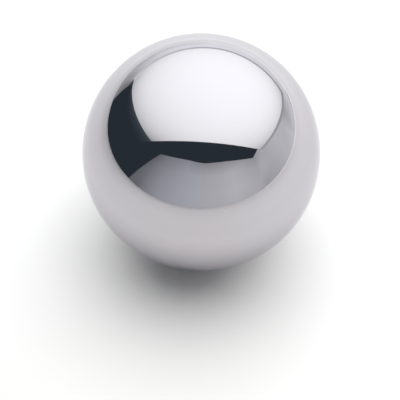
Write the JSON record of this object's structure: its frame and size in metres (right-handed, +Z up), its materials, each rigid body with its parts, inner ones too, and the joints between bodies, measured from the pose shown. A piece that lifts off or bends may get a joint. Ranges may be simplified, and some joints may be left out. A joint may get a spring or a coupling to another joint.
{
  "type": "steel ball",
  "caption": "Solid polished steel ball with a mirror-bright lapped surface, for bearings, bench fixtures and desk toys.",
  "frame": {"origin": "centre of the ball", "axes": "+Z up, away from the surface that the ball stands on; a ball is the same about every axis, so X and Y are free"},
  "size_m": [0.0254, 0.0254, 0.0254],
  "materials": {
    "polished_steel": "polished"
  },
  "bodies": {
    "root": {"ball": "polished_steel"}
  },
  "joints": []
}
